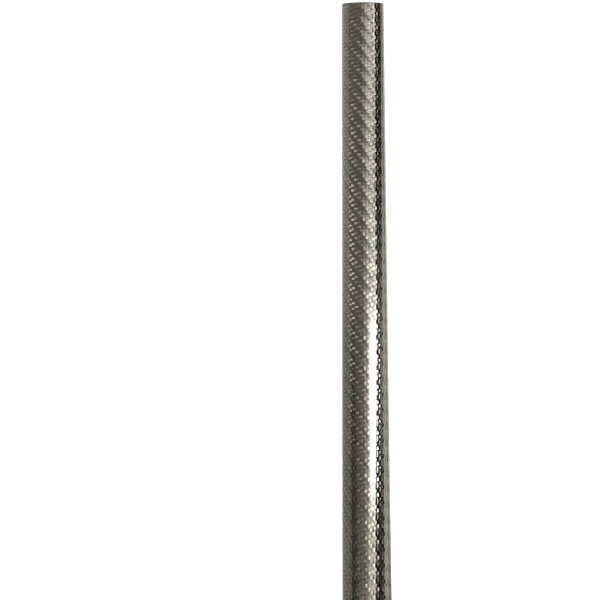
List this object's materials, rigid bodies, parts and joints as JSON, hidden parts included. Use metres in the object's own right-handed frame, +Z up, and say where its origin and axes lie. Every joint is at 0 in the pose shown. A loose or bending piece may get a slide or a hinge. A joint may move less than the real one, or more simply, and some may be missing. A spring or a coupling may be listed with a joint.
{
  "type": "outrigger pole section",
  "caption": "Tapered hollow tube of twill-woven carbon laminate, the butt section of a take-apart outrigger pole, with a parallel butt and a socket in its thin end.",
  "frame": {"origin": "centre of the butt end's cut face, on the tube's own axis", "axes": "+X along the pole from the butt to the thin end, +Z up. The pole lies on its tapered underside, so its own axis dips by about a third of a degree towards the thin end."},
  "size_m": [1.5001, 0.0378, 0.0392],
  "materials": {
    "carbon_twill": "gloss"
  },
  "bodies": {
    "root": {"pole_tube": "carbon_twill"}
  },
  "joints": []
}
